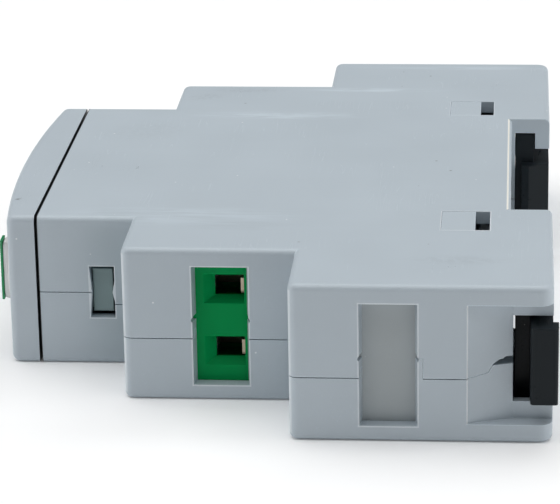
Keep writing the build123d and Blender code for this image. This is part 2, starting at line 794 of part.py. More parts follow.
def link_header():
    """The pins that join the two boards, and the plastic strips that hold them."""
    front = front_board_x + 0.1
    rear = power_board_x + board_thickness + pin_stand
    half = header_pin_size / 2
    pins = [block(front, rear, y - half, y + half, z - half, z + half) for y, z in header_places()]
    strips = []
    half_strip = header_pins * header_pitch / 2
    for end in (-1, 1):
        strip_x = front_board_x + board_thickness
        strip = block(strip_x, strip_x + header_strip_length, end * header_y - 1.25, end * header_y + 1.25,
                      -half_strip, half_strip)
        for y, z in header_places():
            if y * end > 0:
                strip -= block(strip_x - 1, strip_x + 5, y - half - 0.02, y + half + 0.02,
                               z - half - 0.02, z + half + 0.02)
        strips.append(strip)
    return joined(strips), joined(pins)


# ---------------------------------------------------------------- relay, on the power board
def relay_pin_places():
    """Y and Z of the relay's pins."""
    return [(pivot_y + 1.5, 3.0), (pivot_y + 1.5, -3.0), (pivot_y + 8.5, 0.0), (10.85, 0.0), (12.55, 0.0)]


def relay_parts():
    """Base, case, bobbin, winding, yoke, armature, blade, fixed contacts and pins of the relay."""
    inner_y = relay_half_length - relay_wall
    inner_z = relay_half_z - relay_wall
    case = block(relay_front_x, relay_rear_x, -relay_half_length, relay_half_length,
                 -relay_half_z, relay_half_z)
    case = fillet([e for e in case.edges() if e.center().X < relay_front_x + 0.01], 0.5)
    case -= block(relay_top_x, relay_rear_x + 1, -inner_y, inner_y, -inner_z, inner_z)
    base = block(relay_floor_x, relay_rear_x, -inner_y + 0.05, inner_y - 0.05,
                 -inner_z + 0.05, inner_z - 0.05)
    end_x = power_board_x + board_thickness + pin_stand
    pins = []
    for y, z in relay_pin_places()[:3]:
        base -= rod(relay_floor_x - 1, relay_rear_x + 1, y, z, 0.4)
        pins.append(rod(relay_floor_x + 0.2, end_x, y, z, 0.38))
    for y, z in relay_pin_places()[3:]:
        base -= rod(relay_floor_x - 1, relay_rear_x + 1, y, z, 0.42)

    foot_x = relay_floor_x - yoke_thickness
    leg_y = pivot_y - yoke_thickness
    width = min(armature_half_width, inner_z - 0.5)
    yoke = block(armature_x + armature_thickness, relay_floor_x, leg_y, pivot_y, -width, width)
    yoke += block(foot_x, relay_floor_x, leg_y, coil_y + core_radius + 1, -width, width)
    yoke += rod(core_top_x, foot_x + 0.1, coil_y, 0, core_radius)

    bobbin_front = core_top_x + 0.4
    round_radius = min(bobbin_radius, inner_z - 0.2)
    bobbin = rod(bobbin_front, foot_x, coil_y, 0, core_radius + 0.5)
    bobbin += rod(bobbin_front, bobbin_front + bobbin_flange, coil_y, 0, round_radius)
    bobbin += rod(foot_x - bobbin_flange, foot_x, coil_y, 0, round_radius)
    bobbin -= rod(bobbin_front - 1, foot_x + 1, coil_y, 0, core_radius + 0.02)
    winding = rod(bobbin_front + bobbin_flange, foot_x - bobbin_flange, coil_y, 0,
                  min(winding_radius, round_radius - 0.2))
    winding -= rod(bobbin_front, foot_x, coil_y, 0, core_radius + 0.52)

    armature = block(armature_x, armature_x + armature_thickness, leg_y + 0.2, coil_y + 4.5, -width, width)
    blade = block(blade_x, blade_x + blade_thickness, coil_y - 2, contact_y + 1.3, -1.5, 1.5)
    blade += rod(blade_x - 0.35, blade_x + 0.6, contact_y, 0, contact_radius)

    arm_y = contact_y - 1.2
    no_y, nc_y = relay_pin_places()[3][0], relay_pin_places()[4][0]
    contacts = []
    for post, button_x, arm_x in ((no_y, open_contact_x, open_contact_x + 0.3),
                                  (nc_y, closed_contact_x + 0.3, closed_contact_x - 0.3)):
        piece = block(arm_x, arm_x + 0.35, arm_y, post + 0.2, -1.3, 1.3)
        piece += block(arm_x, relay_floor_x + 0.1, post - 0.2, post + 0.2, -1.3, 1.3) & block(
            arm_x, relay_floor_x, -20, 20, -2, 2)
        piece += rod(relay_floor_x - 0.1, end_x, post, 0, 0.38)
        piece += rod(min(button_x, arm_x + 0.1), max(button_x, arm_x + 0.1), contact_y, 0, contact_radius)
        contacts.append(piece)
    return {
        "relay_case": case, "relay_base": base, "relay_pins": joined(pins), "relay_yoke": yoke,
        "relay_bobbin": bobbin, "relay_winding": winding, "relay_armature": armature,
        "relay_contact_blade": blade, "relay_fixed_contacts": joined(contacts),
    }


# ---------------------------------------------------------------- supply parts, behind the power board
lead_places = {
    "film_capacitor": [(-12.0, 0.0), (3.0, 0.0)],
    "electrolytic_capacitor": [(11.0, -1.25), (11.0, 1.25)],
    "varistor": [(-21.2, -2.5), (-21.2, 2.5)],
    "fuse_resistor": [(20.0, -3.0), (28.0, -3.0)],
    "bridge_rectifier": [(-28.5, -1.3), (-28.5, 1.3)],
}


def leads(name, top_x):
    """The straight leads of a part, from its body through the power board."""
    return [rod(power_board_x + 0.05, top_x, y, z, 0.3) for y, z in lead_places[name]]


def supply_parts():
    """The dropper capacitor, reservoir, varistor, fuse resistor and rectifier."""
    base_x = power_board_x + board_thickness + supply_stand_off
    film = block(base_x, base_x + 13.0, -14, 5, -4.2, 4.2)
    film = fillet(film.edges(), 0.6)
    can = rod(base_x, base_x + 12.0, 11.0, 0, 4.0)
    can = fillet(can.edges(), 0.5)
    disc = Pos(base_x + 4.2, -21.2, 0) * Rot(90, 0, 0) * Cylinder(4.0, 3.6)
    disc = fillet(disc.edges(), 0.8)
    resistor = Pos(base_x + 1.7, 24.0, -3.0) * Rot(90, 0, 0) * Cylinder(1.5, 6.0)
    resistor = fillet(resistor.edges(), 0.4)
    resistor += Pos(base_x + 1.7, 24.0, -3.0) * Rot(90, 0, 0) * Cylinder(0.3, 8.3)
    bridge = block(base_x, base_x + 3.0, -30.0, -27.0, -2.6, 2.6)
    pieces = {"film_capacitor": (film, base_x + 1), "electrolytic_capacitor": (can, base_x + 1),
              "varistor": (disc, base_x + 2), "fuse_resistor": (resistor, base_x + 1.8),
              "bridge_rectifier": (bridge, base_x + 1)}
    return {name: joined([body] + leads(name, top)) for name, (body, top) in pieces.items()}


def chip_parts():
    """The microcontroller and the small chip parts on the rear face of the front board."""
    x = front_board_x + board_thickness
    controller = block(x, x + 1.5, -4.4, 4.4, -2.0, 2.0)
    for side in (-1, 1):
        for i in range(7):
            y = (i - 3) * 1.27
            controller += block(x, x + 0.4, y - 0.2, y + 0.2, side * 1.9, side * 3.0)
    chips = []
    for y, z in chip_places:
        chips.append(block(x, x + 0.5, y - 1.0, y + 1.0, z - 0.6, z + 0.6))
    return controller, joined(chips)


# ---------------------------------------------------------------- the whole object
def at_end(shape, end):
    """A shape drawn at the top end, kept there or mirrored to the bottom end."""
    return shape if end > 0 else mirror(shape, about=Plane.XZ)


def build():
    """Every node of the object, by name."""
    nodes = {}
    nodes["housing_upper"], nodes["housing_lower"] = housing()
    nodes["front_cover"] = front_cover()
    nodes["front_label"] = front_label()
    for name, y in (("time", time_knob_y), ("range", range_knob_y)):
        nodes[f"{name}_knob"], nodes[f"{name}_knob_pointer"] = knob(y)
    nodes["time_pot_body"], nodes["time_pot_rotor"] = control(time_knob_y)
    nodes["range_switch_body"], nodes["range_switch_rotor"] = control(range_knob_y)
    lamp_pieces = [led(y) for y in led_y]
    nodes["led_power"], nodes["led_output"] = [lamp for lamp, _ in lamp_pieces]
    nodes["led_spacers"] = joined([spacer for _, spacer in lamp_pieces])
    nodes["front_pcb"] = front_board()
    nodes["power_pcb"] = power_board()
    nodes["link_header_strips"], nodes["link_header_pins"] = link_header()
    nodes["microcontroller"], nodes["chip_resistors"] = chip_parts()

    number = 0
    for name, end in (("bottom", -1), ("top", 1)):
        frames = joined([contact_frame(side * pole_offset) for side in (1, -1)])
        nodes[f"terminal_block_{name}"] = at_end(terminal_block(), end)
        nodes[f"contact_frames_{name}"] = at_end(frames, end)
        nodes[f"terminal_blank_{name}"] = at_end(terminal_blank(), end)
        for side in (1, -1):
            number += 1
            nodes[f"clamp_plate_{number}"] = at_end(clamp_plate(side * pole_offset), end)
            nodes[f"terminal_screw_{number}"] = at_end(terminal_screw(side * pole_offset), end)

    nodes["rail_latch"] = rail_latch()
    nodes["latch_spring"] = latch_spring()
    nodes["rail_hook"] = rail_hook()
    nodes.update(relay_parts())
    nodes.update(supply_parts())
    return nodes


if __name__ == "__main__":
    os.makedirs("parts", exist_ok=True)
    for node_name, shape in build().items():
        export_step(shape, f"parts/{node_name}.step")
        print(f"{node_name:26s} {shape.volume:10.1f} mm3  {len(shape.solids())} solid(s)")
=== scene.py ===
"""Looks of the DIN rail timer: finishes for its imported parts, the front print, the light and the camera.

Metres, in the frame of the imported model: +X from the front face to the rail, +Y from the latch end to the
top end, +Z across the module. The module lies on its side, so the floor is at its lowest Z.
"""
from __future__ import annotations

import logging
import math
from dataclasses import dataclass, field, replace
from enum import Enum
from typing import Any, Iterable, Sequence

import bmesh
import bpy
import numpy as np
from mathutils import Matrix, Vector


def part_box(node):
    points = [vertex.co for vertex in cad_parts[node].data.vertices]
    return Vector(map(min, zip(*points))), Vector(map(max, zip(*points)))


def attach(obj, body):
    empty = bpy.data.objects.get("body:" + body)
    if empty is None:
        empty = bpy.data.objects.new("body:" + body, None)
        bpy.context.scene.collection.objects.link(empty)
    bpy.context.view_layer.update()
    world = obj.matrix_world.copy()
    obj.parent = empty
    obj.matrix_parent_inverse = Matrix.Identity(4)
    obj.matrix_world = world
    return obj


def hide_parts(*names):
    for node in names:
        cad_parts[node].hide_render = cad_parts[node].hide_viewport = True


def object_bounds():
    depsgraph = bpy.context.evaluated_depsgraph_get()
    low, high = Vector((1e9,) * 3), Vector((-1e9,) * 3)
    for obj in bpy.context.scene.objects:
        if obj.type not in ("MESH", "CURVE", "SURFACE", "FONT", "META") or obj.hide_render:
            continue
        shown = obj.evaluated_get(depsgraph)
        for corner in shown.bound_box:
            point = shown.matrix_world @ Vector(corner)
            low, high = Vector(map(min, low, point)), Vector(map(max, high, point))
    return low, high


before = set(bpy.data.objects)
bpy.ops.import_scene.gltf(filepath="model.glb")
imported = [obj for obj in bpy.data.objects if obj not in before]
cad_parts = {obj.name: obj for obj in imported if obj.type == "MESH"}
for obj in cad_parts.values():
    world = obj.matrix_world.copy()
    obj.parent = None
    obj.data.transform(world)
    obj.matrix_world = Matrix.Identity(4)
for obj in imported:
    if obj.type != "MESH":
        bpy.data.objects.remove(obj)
CAD_BOX = [list(corner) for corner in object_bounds()]

LOG = logging.getLogger("din_rail_timer")
MM = 0.001
Colour = tuple[float, float, float]
Point = tuple[float, float, float]


# ---------------------------------------------------------------- shader maths
class Signal:
    """One output socket of a material, with arithmetic that adds Math nodes."""

    def __init__(self, tree: "Tree", socket: bpy.types.NodeSocket) -> None:
        """Wraps a socket.

        Args:
            tree: the material's tree.
            socket: the output socket.
        """
        self.tree = tree
        self.socket = socket

    def _math(self, operation: str, first: Any, second: Any = 0.0) -> "Signal":
        """One Math node on two numbers or signals.

        Args:
            operation: the node's operation.
            first: the first operand.
            second: the second operand.

        Returns:
            The node's value.
        """
        return self.tree.node("ShaderNodeMath", {"operation": operation}, {0: first, 1: second})

    def __add__(self, other: Any) -> "Signal":
        """The sum."""
        return self._math("ADD", self, other)

    __radd__ = __add__

    def __sub__(self, other: Any) -> "Signal":
        """The difference."""
        return self._math("SUBTRACT", self, other)

    def __rsub__(self, other: Any) -> "Signal":
        """The difference, with this one taken away."""
        return self._math("SUBTRACT", other, self)

    def __mul__(self, other: Any) -> "Signal":
        """The product."""
        return self._math("MULTIPLY", self, other)

    __rmul__ = __mul__

    def higher(self, other: Any) -> "Signal":
        """The larger of the two."""
        return self._math("MAXIMUM", self, other)

    def lower(self, other: Any) -> "Signal":
        """The smaller of the two."""
        return self._math("MINIMUM", self, other)

    def ramp(self, start: float, end: float) -> "Signal":
        """A smooth rise from 0 at start to 1 at end, or a fall if start is the larger.

        Args:
            start: where it is 0.
            end: where it is 1.

        Returns:
            The eased value.
        """
        low, high, at_low, at_high = (start, end, 0.0, 1.0) if start < end else (end, start, 1.0, 0.0)
        return self.tree.node(
            "ShaderNodeMapRange", {"interpolation_type": "SMOOTHSTEP"},
            {"Value": self, "From Min": low, "From Max": high, "To Min": at_low, "To Max": at_high})


class Tree:
    """A new material and the one way its nodes are made."""

    def __init__(self, name: str) -> None:
        """Starts an empty material.

        Args:
            name: the material's name.
        """
        self.material = bpy.data.materials.new(name)
        self.material.use_nodes = True
        self.graph = self.material.node_tree
        self.graph.nodes.clear()

    def node(self, kind: str, settings: dict[str, Any] | None = None,
             inputs: dict[Any, Any] | None = None, output: int | str = 0) -> Signal:
        """Adds a node, sets it up, then fills its sockets.

        Args:
            kind: the node's type.
            settings: the node's attributes.
            inputs: a value or a Signal for each socket, by name or number.
            output: the socket that is returned.

        Returns:
            The chosen output.
        """
        made = self.graph.nodes.new(kind)
        for key, value in (settings or {}).items():
            setattr(made, key, value)
        for key, value in (inputs or {}).items():
            if isinstance(value, Signal):
                self.graph.links.new(value.socket, made.inputs[key])
            else:
                made.inputs[key].default_value = value
        return Signal(self, made.outputs[output])

    def place(self, scale: Sequence[float] = (1, 1, 1), shift: Sequence[float] = (0, 0, 0)) -> Signal:
        """Object coordinates in millimetres, shifted and scaled along each axis.

        Args:
            scale: factors on X, Y and Z.
            shift: millimetres added after scaling.

        Returns:
            The coordinates.
        """
        start = self.node("ShaderNodeTexCoord", output="Object")
        return self.node("ShaderNodeMapping", {"vector_type": "POINT"},
                         {"Vector": start, "Scale": [s / MM for s in scale], "Location": list(shift)})

    def noise(self, at: Signal, scale: float, detail: float = 3.0, roughness: float = 0.55) -> Signal:
        """Soft noise about 0.5 with the given number of features a millimetre."""
        return self.node("ShaderNodeTexNoise", None,
                         {"Vector": at, "Scale": scale, "Detail": detail, "Roughness": roughness})

    def axis(self, at: Signal, index: int) -> Signal:
        """One coordinate of a vector."""
        return self.node("ShaderNodeSeparateXYZ", None, {0: at}, index)

    def blend(self, factor: Signal | float, first: Signal | Colour, second: Signal | Colour) -> Signal:
        """A colour between two, by factor.

        Args:
            factor: 0 for the first and 1 for the second.
            first: a colour or a signal.
            second: a colour or a signal.

        Returns:
            The mixed colour.
        """
        colours = [c if isinstance(c, Signal) else (*c, 1.0) for c in (first, second)]
        return self.node("ShaderNodeMix", {"data_type": "RGBA"},
                         {"Factor": factor, 6: colours[0], 7: colours[1]}, 2)

    def specks(self, at: Signal, per_mm: float, share: float, size: float) -> Signal:
        """Scattered round specks: cells of a Voronoi pattern, of which a share hold a dot.

        Args:
            at: coordinates in millimetres.
            per_mm: cells a millimetre.
            share: the share of cells with a dot.
            size: the dot's radius as a share of the cell.

        Returns:
            1 in a dot and 0 outside.
        """
        near = self.node("ShaderNodeTexVoronoi", None, {"Vector": at, "Scale": per_mm}, "Distance")
        pick = self.node("ShaderNodeTexVoronoi", None, {"Vector": at, "Scale": per_mm}, "Color")
        chosen = self.axis(pick, 0).ramp(share, share * 0.9)
        return near.ramp(size, size * 0.5) * chosen

    def scratches(self, at: Signal, along: int, per_mm: float, share: float) -> Signal:
        """Hairlines: ridges of noise stretched along one axis, cut into short lengths.

        Args:
            at: coordinates in millimetres.
            along: the axis that the lines follow.
            per_mm: lines a millimetre.
            share: how much of the surface has any.

        Returns:
            1 on a line and 0 off it.
        """
        stretch = [1.0, 1.0, 1.0]
        stretch[along] = 0.04
        drawn = self.node("ShaderNodeMapping", {"vector_type": "POINT"},
                          {"Vector": at, "Scale": stretch, "Rotation": (0.05, 0.04, 0.06)})
        ridge = self.noise(drawn, per_mm, 1.0)
        line = (ridge - 0.5) * (ridge - 0.5)
        return line.ramp(0.00012, 0.0) * self.noise(at, 0.11, 2.0).ramp(0.62 - share, 0.7 - share)

    def edge(self, radius: float, samples: int = 6) -> tuple[Signal, Signal]:
        """The normal rounded over sharp edges, and how far it has turned there.

        Args:
            radius: the rounding in millimetres.
            samples: rays for each point.

        Returns:
            The rounded normal, and 0 on a flat rising to 1 on an edge.
        """
        rounded = self.node("ShaderNodeBevel", {"samples": samples}, {"Radius": radius * MM})
        plain = self.node("ShaderNodeNewGeometry", output="Normal")
        same = self.node("ShaderNodeVectorMath", {"operation": "DOT_PRODUCT"},
                         {0: rounded, 1: plain}, "Value")
        return rounded, (1 - same).ramp(0.004, 0.10)

    def bump(self, height: Signal, depth: float, under: Signal | None = None) -> Signal:
        """A normal from a height, depth in millimetres for a height of 1."""
        inputs: dict[str, Any] = {"Height": height, "Distance": depth * MM, "Strength": 1.0}
        if under is not None:
            inputs["Normal"] = under
        return self.node("ShaderNodeBump", None, inputs)

    def close(self, **sockets: Any) -> bpy.types.Material:
        """Ends the material in a Principled shader.

        Args:
            sockets: values or signals by socket name, with _ for a space.

        Returns:
            The material.
        """
        inputs = {}
        for key, value in sockets.items():
            plain_colour = isinstance(value, tuple) and len(value) == 3
            inputs[key.replace("_", " ")] = (*value, 1.0) if plain_colour else value
        shader = self.node("ShaderNodeBsdfPrincipled", None, inputs)
        self.node_output(shader)
        return self.material

    def node_output(self, shader: Signal) -> None:
        """Links a shader to the material's output."""
        made = self.graph.nodes.new("ShaderNodeOutputMaterial")
        self.graph.links.new(shader.socket, made.inputs["Surface"])


# ---------------------------------------------------------------- finishes
def shade(colour: Colour, factor: float) -> Colour:
    """A colour made lighter or darker by a factor."""
    return tuple(min(channel * factor, 1.0) for channel in colour)


@dataclass(frozen=True)
class Mark:
    """A soft-edged mark at one place on a moulding, in millimetres: a smudge, a scuff or a painted
    highlight streak.
    """

    centre: Point
    size: Point
    strength: float
    turn: float = 0.0
    stretch: float = 1.0

    def mask(self, tree: Tree) -> Signal:
        """The mark's strength at each point: a noisy blob inside an ellipsoid.

        Args:
            tree: the material's tree.

        Returns:
            0 outside, rising to the mark's strength.
        """
        start = tree.place()
        moved = tree.node("ShaderNodeMapping", {"vector_type": "TEXTURE"},
                          {"Vector": start, "Location": self.centre, "Rotation": (0, 0, self.turn),
                           "Scale": self.size})
        far = tree.node("ShaderNodeVectorMath", {"operation": "LENGTH"}, {0: moved}, "Value")
        rough = tree.noise(tree.place((1 / self.stretch, 1.0, 1.0)), 1.6, 4.0).ramp(0.35, 0.62)
        return far.ramp(1.0, 0.25) * rough * self.strength


@dataclass(frozen=True)
class PaintedLight:
    """A box of a moulding, in millimetres, that has a tone of painted light: shade in a seam or recess, a
    highlight on an edge.

    An infinite side is left open.
    """

    low: Point
    high: Point
    tone: Colour
    strength: float = 1.0
    soft: float = 0.02

    def mask(self, tree: Tree) -> Signal | float:
        """The patch's strength inside the box and 0 outside, blended over the softness at each side.

        Args:
            tree: the material's tree.

        Returns:
            The strength at each point.
        """
        at = tree.place()
        held: Signal | float = self.strength
        for index, (low, high) in enumerate(zip(self.low, self.high)):
            if math.isfinite(low):
                held = tree.axis(at, index).ramp(low - self.soft, low + self.soft) * held
            if math.isfinite(high):
                held = tree.axis(at, index).ramp(high + self.soft, high - self.soft) * held
        return held


def shade_band(start: float, end: float, tone: Colour) -> PaintedLight:
    """A box of painted shade between two places along X, open on its other sides."""
    return PaintedLight((start, -math.inf, -math.inf), (end, math.inf, math.inf), tone)


def at_both_ends(low: Point, high: Point, tone: Colour, strength: float,
                 soft: float) -> tuple[PaintedLight, PaintedLight]:
    """A patch and its mirror image across the middle of the height."""
    return (PaintedLight(low, high, tone, strength, soft),
            PaintedLight((low[0], -high[1], low[2]), (high[0], -low[1], high[2]), tone, strength, soft))


@dataclass(frozen=True)
class Moulded:
    """A moulded plastic: spark grain, flow streaks, rounded edges with a painted highlight, dust and
    hairlines.
    """

    name: str
    colour: Colour
    roughness: float = 0.5
    grain: float = 0.006
    grain_scale: float = 5.0
    mottle: float = 0.03
    edge_radius: float = 0.16
    # Strength of the painted highlight on edges.
    edge_highlight: float = 0.35
    dust: float = 0.04
    hairlines: float = 0.10
    specular: float = 0.5
    coat: float = 0.0
    # Pale streaks painted as highlights.
    highlight_streaks: tuple[Mark, ...] = ()
    dark_marks: tuple[Mark, ...] = ()
    # Boxes of painted shade and painted highlight.
    painted_light_boxes: tuple[PaintedLight, ...] = ()

    def make(self) -> bpy.types.Material:
        """Builds the material."""
        tree = Tree(self.name)
        at = tree.place()
        rounded, edge = tree.edge(self.edge_radius)
        cloud = tree.noise(at, 0.09, 4.0)
        flow = tree.noise(tree.place((0.05, 0.4, 0.4)), 1.0, 3.0)
        fine = tree.noise(at, self.grain_scale, 4.0, 0.7)
        tone = (cloud - 0.5) * (2 * self.mottle) + (flow - 0.5) * self.mottle + (fine - 0.5) * 0.05
        depth = (tone + 0.5).lower(1.0).higher(0.0)
        paint = tree.blend(depth, shade(self.colour, 0.55), shade(self.colour, 1.45))
        # Painted highlight: edges are blended towards a lighter copy of the colour.
        paint = tree.blend(edge * self.edge_highlight, paint, shade(self.colour, 1.6))
        specks = tree.specks(at, 0.55, self.dust, 0.12)
        paint = tree.blend(specks * 0.8, paint, shade(self.colour, 0.35))
        lint = tree.specks(tree.place((1, 1, 1), (17.0, 5.0, 3.0)), 0.7, self.dust * 1.5, 0.10)
        paint = tree.blend(lint * 0.7, paint, (0.92, 0.93, 0.93))
        lines = tree.scratches(at, 1, 1.3, self.hairlines)
        paint = tree.blend(lines * 0.14, paint, shade(self.colour, 1.3))
        # Painted highlight: pale streaks blended towards a lighter copy of the colour.
        for mark in self.highlight_streaks:
            paint = tree.blend(mark.mask(tree), paint, shade(self.colour, 1.7))
        for mark in self.dark_marks:
            paint = tree.blend(mark.mask(tree), paint, shade(self.colour, 0.3))
        # Painted shade and painted highlights: each box is blended to its own tone.
        for patch in self.painted_light_boxes:
            paint = tree.blend(patch.mask(tree), paint, patch.tone)
        gloss = (cloud - 0.5) * 0.16 + (fine - 0.5) * 0.12 + self.roughness - lines * 0.15
        height = fine * self.grain + tree.noise(at, 0.35, 2.0) * 0.02 - lines * 0.002
        normal = tree.bump(height, 1.0, rounded)
        return tree.close(Base_Color=paint, Roughness=gloss.lower(1.0).higher(0.05), Normal=normal,
                          Specular_IOR_Level=self.specular, Coat_Weight=self.coat, Coat_Roughness=0.25)


@dataclass(frozen=True)
class Metal:
    """A plated or drawn metal: brushed lines along one axis, tarnish, and bright edges."""

    name: str
    colour: Colour
    roughness: float = 0.32
    along: int = 1
    tarnish: float = 0.25
    edge_radius: float = 0.06

    def make(self) -> bpy.types.Material:
        """Builds the material."""
        tree = Tree(self.name)
        at = tree.place()
        rounded, edge = tree.edge(self.edge_radius, 4)
        stretch = [1.0, 1.0, 1.0]
        stretch[self.along] = 0.05
        brushed = tree.noise(tree.place(stretch), 14.0, 2.0)
        cloud = tree.noise(at, 0.7, 4.0)
        paint = tree.blend(cloud.ramp(0.45, 0.75) * self.tarnish, self.colour, shade(self.colour, 0.55))
        paint = tree.blend(edge * 0.4, paint, shade(self.colour, 1.3))
        gloss = (brushed - 0.5) * 0.2 + (cloud - 0.5) * 0.25 + self.roughness
        return tree.close(Base_Color=paint, Roughness=gloss.lower(1.0).higher(0.05), Metallic=1.0,
                          Normal=tree.bump(brushed, 0.004, rounded))


@dataclass(frozen=True)
class Wound:
    """Enamelled wire wound on a bobbin: a round bump for every turn along X, painted shade in the grooves.
    """

    name: str
    colour: Colour
    pitch: float

    def make(self) -> bpy.types.Material:
        """Builds the material. The height is the size of a sine of X, one half wave for each turn."""
        tree = Tree(self.name)
        at = tree.place()
        along = tree.axis(at, 0) * (math.pi / self.pitch) + (tree.noise(at, 0.8) - 0.5) * 0.9
        wave = tree.node("ShaderNodeMath", {"operation": "SINE"}, {0: along})
        turn = tree.node("ShaderNodeMath", {"operation": "ABSOLUTE"}, {0: wave})
        # Painted shade: darker in the grooves between turns.
        paint = tree.blend(turn, shade(self.colour, 0.35), self.colour)
        return tree.close(Base_Color=paint, Roughness=0.3, Metallic=0.6, Coat_Weight=0.6,
                          Normal=tree.bump(turn, self.pitch * 0.4))


@dataclass(frozen=True)
class Board:
    """Solder mask over copper tracks on a glass laminate."""

    name: str
    mask: Colour = (0.012, 0.13, 0.04)
    track: Colour = (0.03, 0.24, 0.07)

    def make(self) -> bpy.types.Material:
        """Builds the material. Tracks are the cells of a square Voronoi pattern."""
        tree = Tree(self.name)
        at = tree.place()
        rounded, edge = tree.edge(0.08, 4)
        near = tree.node("ShaderNodeTexVoronoi", {"distance": "CHEBYCHEV", "feature": "F1"},
                         {"Vector": at, "Scale": 0.3}, "Distance")
        track = near.ramp(0.42, 0.4)
        weave = tree.noise(tree.place((1, 6, 6)), 1.2, 1.0)
        paint = tree.blend(track, self.mask, self.track)
        paint = tree.blend(edge * 0.8, paint, (0.45, 0.42, 0.25))
        return tree.close(Base_Color=paint, Roughness=0.3 + weave * 0.1, Coat_Weight=0.4,
                          Normal=tree.bump(track * 0.03 + weave * 0.004, 1.0, rounded))


@dataclass(frozen=True)
class Lens:
    """A tinted lamp lens, clear enough to look lit from within but not glowing."""

    name: str
    colour: Colour

    def make(self) -> bpy.types.Material:
        """Builds the material."""
        tree = Tree(self.name)
        at = tree.place()
        swirl = tree.noise(at, 0.9, 2.0)
        paint = tree.blend(swirl, shade(self.colour, 0.8), shade(self.colour, 1.3))
        return tree.close(Base_Color=paint, Roughness=0.08 + swirl * 0.08, Transmission_Weight=0.35,
                          IOR=1.5, Coat_Weight=0.5)


@dataclass(frozen=True)
class Ink:
    """Printed ink on the front foil, a little uneven at its edges."""

    name: str
    colour: Colour

    def make(self) -> bpy.types.Material:
        """Builds the material."""
        tree = Tree(self.name)
        spread = tree.noise(tree.place(), 7.0, 3.0)
        paint = tree.blend(spread.ramp(0.3, 0.8), self.colour, shade(self.colour, 1.8))
        return tree.close(Base_Color=paint, Roughness=0.35 + spread * 0.2,
                          Normal=tree.bump(spread, 0.003))


@dataclass(frozen=True)
class Backdrop:
    """The pale studio floor."""

    name: str = "studio_floor"

    def make(self) -> bpy.types.Material:
        """Builds the material."""
        tree = Tree(self.name)
        cloud = tree.noise(tree.place((0.01, 0.01, 0.01)), 1.0)
        paint = tree.blend(cloud, (0.955, 0.958, 0.962), (0.975, 0.975, 0.975))
        return tree.close(Base_Color=paint, Roughness=0.9, Specular_IOR_Level=0.1,
                          Emission_Color=(1.0, 1.0, 1.0), Emission_Strength=0.05)


class Tone(Enum):
    """Base colours of the plastics, and the tones of painted shade and painted highlights."""

    SHELL = (0.478, 0.542, 0.592)
    COVER = (0.476, 0.538, 0.588)
    BLANK = (0.405, 0.442, 0.455)
    # Painted shade on the cover's catch, recessed behind the nose window.
    CATCH_SHADE = (0.215, 0.300, 0.305)
    GLINT = (0.860, 0.890, 0.920)
    # Painted highlight along the notch floor's top edge.
    CREAM_HIGHLIGHT = (0.950, 0.925, 0.840)
    SHADE = (0.250, 0.330, 0.345)
    # Painted shade inside the seam between the cover and the shells.
    SEAM_SHADE = (0.030, 0.034, 0.038)
    GREEN = (0.000, 0.290, 0.076)
    BLACK = (0.009, 0.013, 0.016)


